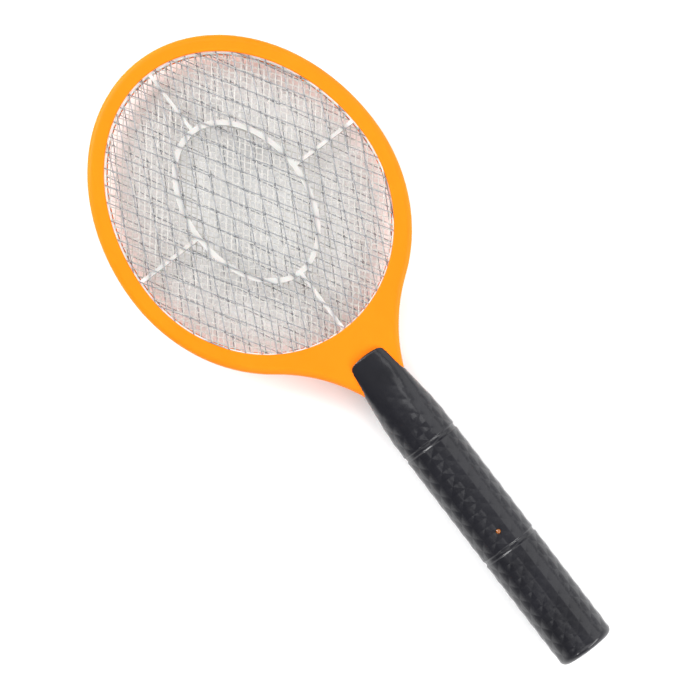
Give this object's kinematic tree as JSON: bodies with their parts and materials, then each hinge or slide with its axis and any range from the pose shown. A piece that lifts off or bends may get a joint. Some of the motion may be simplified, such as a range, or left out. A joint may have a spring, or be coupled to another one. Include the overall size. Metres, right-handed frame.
{
  "type": "electric fly swatter",
  "caption": "Battery electric fly swatter: flat oval head with guard grids over a charged mesh, round textured handle with push button and sliding battery cover.",
  "frame": {"origin": "middle of the racket's length and width, on the surface it lies on (bottom centre of the box)", "axes": "+Y along the racket from the butt of the handle to the tip of the head, +Z out of the front face, +X across the head"},
  "size_m": [0.177, 0.435, 0.0354],
  "materials": {
    "cell_jacket": "printed shrink jacket, plain",
    "black_grip": "satin black moulded plastic with a raised pyramid texture",
    "black_insulation": "black cable insulation",
    "red_insulation": "red cable insulation",
    "tinned_steel": "tin plated strip and spring wire",
    "screw_steel": "zinc plated screw",
    "capacitor_disc": "blue ceramic disc",
    "mesh_metal": "fine expanded metal, bright",
    "board_laminate": "phenolic board, bare",
    "grid_wire": "thin drawn steel wire, welded at the crossings",
    "orange_plastic": "satin moulded plastic, orange",
    "white_plastic": "moulded plastic, white",
    "lamp_lens": "tinted orange lens",
    "black_component": "black epoxy moulding",
    "button_plastic": "satin moulded plastic, orange",
    "resistor_coat": "tan lacquer with colour bands",
    "capacitor_case": "dipped brown-red film capacitor",
    "bobbin_plastic": "black moulded plastic",
    "ferrite": "dark grey ferrite",
    "winding_tape": "yellow winding tape"
  },
  "bodies": {
    "racket": {"battery_cell_1": "cell_jacket", "battery_cell_2": "cell_jacket", "battery_lead_negative": "black_insulation", "battery_lead_positive": "red_insulation", "battery_springs": "tinned_steel", "board_screws": "screw_steel", "boost_capacitors": "capacitor_disc", "bridge_contact": "tinned_steel", "center_electrode_mesh": "mesh_metal", "circuit_board": "board_laminate", "front_grid_contact": "tinned_steel", "front_ground_lead": "black_insulation", "front_guard_grid": "grid_wire", "front_handle_shell": "black_grip", "front_head_frame": "orange_plastic", "front_spacer_frame": "white_plastic", "handle_screws": "screw_steel", "head_screws": "screw_steel", "high_voltage_lead": "red_insulation", "indicator_lamp": "lamp_lens", "key_switch": "black_component", "mesh_contact": "tinned_steel", "negative_terminal": "tinned_steel", "positive_terminal": "tinned_steel", "rear_grid_contact": "tinned_steel", "rear_ground_lead": "black_insulation", "rear_guard_grid": "grid_wire", "rear_handle_shell": "black_grip", "rear_head_frame": "orange_plastic", "rear_spacer_frame": "white_plastic", "rectifier_diodes": "black_component", "resistors": "resistor_coat", "storage_capacitor": "capacitor_case", "switching_transistor": "black_component", "transformer_bobbin": "bobbin_plastic", "transformer_core": "ferrite", "transformer_winding": "winding_tape"},
    "button": {"push_button": "button_plastic", "switch_plunger": "black_component"},
    "cover": {"battery_cover": "black_grip"}
  },
  "joints": [
    {"name": "button_press", "type": "slide", "parent": "racket", "child": "button", "axis": [0, 0, 1], "range_m": [0, 0.001], "stiffness_N_per_m": 900, "springref_m": -0.0012},
    {"name": "cover_slide", "type": "slide", "parent": "racket", "child": "cover", "axis": [0, -1, 0], "range_m": [0, 0.075]}
  ]
}
